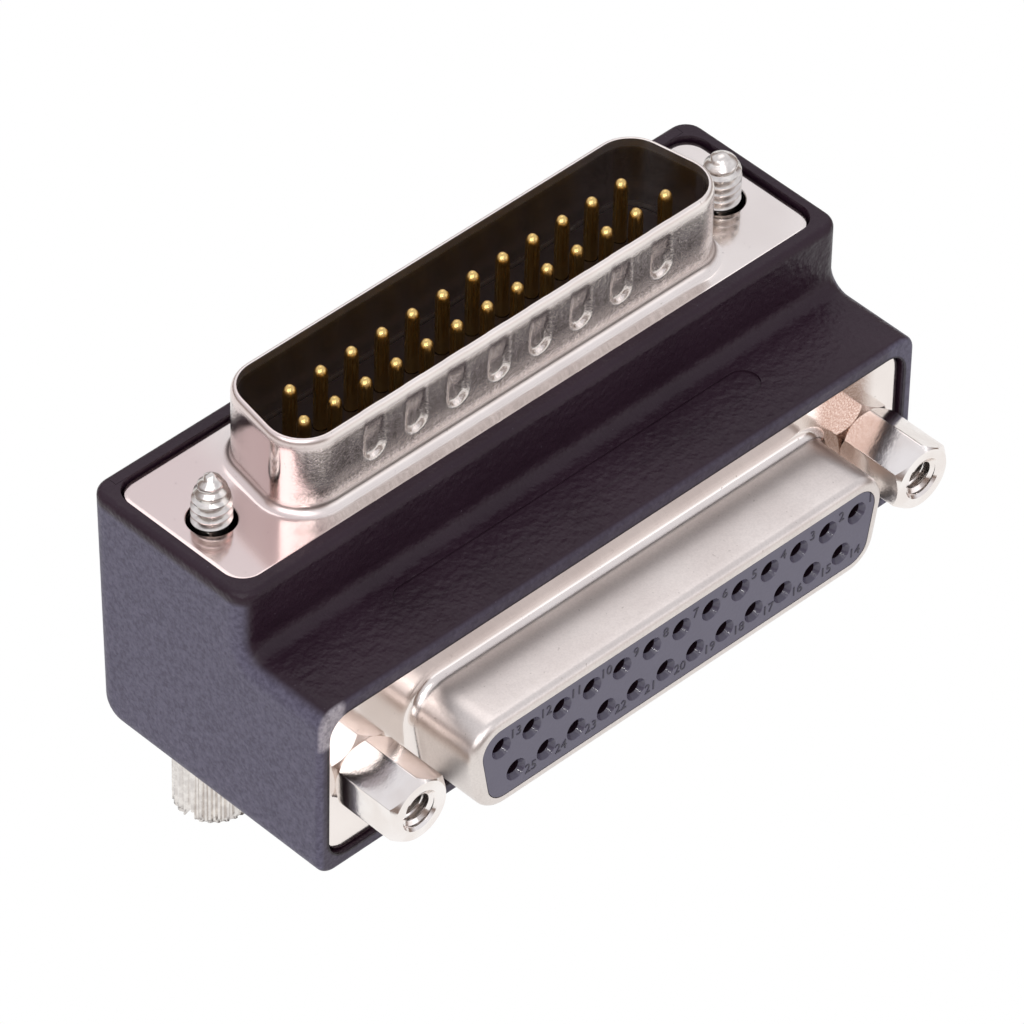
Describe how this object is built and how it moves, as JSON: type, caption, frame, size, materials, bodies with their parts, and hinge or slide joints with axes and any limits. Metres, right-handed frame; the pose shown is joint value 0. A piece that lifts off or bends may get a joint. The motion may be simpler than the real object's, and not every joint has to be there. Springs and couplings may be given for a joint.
{
  "type": "right-angle d-sub adapter",
  "caption": "Right-angle D-sub adapter with a D-shaped plug on top, a socket on the front face, hexagonal jack nuts and captive thumbscrews",
  "frame": {"origin": "centre of the front face of the plug's flange", "axes": "+Z is the way the plug mates, -Y is the way the socket mates, X runs along both connectors"},
  "size_m": [0.0554, 0.0279, 0.0318],
  "materials": {
    "black_plastic": "fine texture",
    "nickel_plate": "bright nickel plate",
    "nickel_screw": "nickel plate",
    "dark_insulator": "moulded",
    "grey_insulator": "moulded",
    "gold_plate": "gold plate",
    "tinned_copper": "tin plate",
    "brass": "turned",
    "spring_steel": "plain"
  },
  "bodies": {
    "adapter": {"housing": "black_plastic", "back_cover": "black_plastic", "plug_shell": "nickel_plate", "plug_rear_shell": "nickel_plate", "socket_shell": "nickel_plate", "socket_rear_shell": "nickel_plate", "plug_insulator": "dark_insulator", "socket_insulator": "grey_insulator", "plug_pins_long_row": "gold_plate", "plug_pins_short_row": "gold_plate", "socket_contacts_long_row": "gold_plate", "socket_contacts_short_row": "gold_plate", "strips_long_row": "tinned_copper", "strips_short_row": "tinned_copper", "jack_nut_left": "nickel_screw", "jack_nut_right": "nickel_screw", "insert_left": "brass", "insert_right": "brass"},
    "left_clip": {"screw_clip_left": "spring_steel"},
    "left_screw": {"thumbscrew_left": "nickel_screw"},
    "right_clip": {"screw_clip_right": "spring_steel"},
    "right_screw": {"thumbscrew_right": "nickel_screw"}
  },
  "joints": [
    {"name": "left_screw_slide", "type": "slide", "parent": "adapter", "child": "left_clip", "axis": [0, 0, 1], "range_m": [-0.00425, 0.00025]},
    {"name": "left_screw_spin", "type": "hinge", "parent": "left_clip", "child": "left_screw", "pos_m": [-0.02352, 0, -0.0096], "axis": [0, 0, 1], "continuous": true},
    {"name": "right_screw_slide", "type": "slide", "parent": "adapter", "child": "right_clip", "axis": [0, 0, 1], "range_m": [-0.00425, 0.00025]},
    {"name": "right_screw_spin", "type": "hinge", "parent": "right_clip", "child": "right_screw", "pos_m": [0.02352, 0, -0.0096], "axis": [0, 0, 1], "continuous": true}
  ]
}
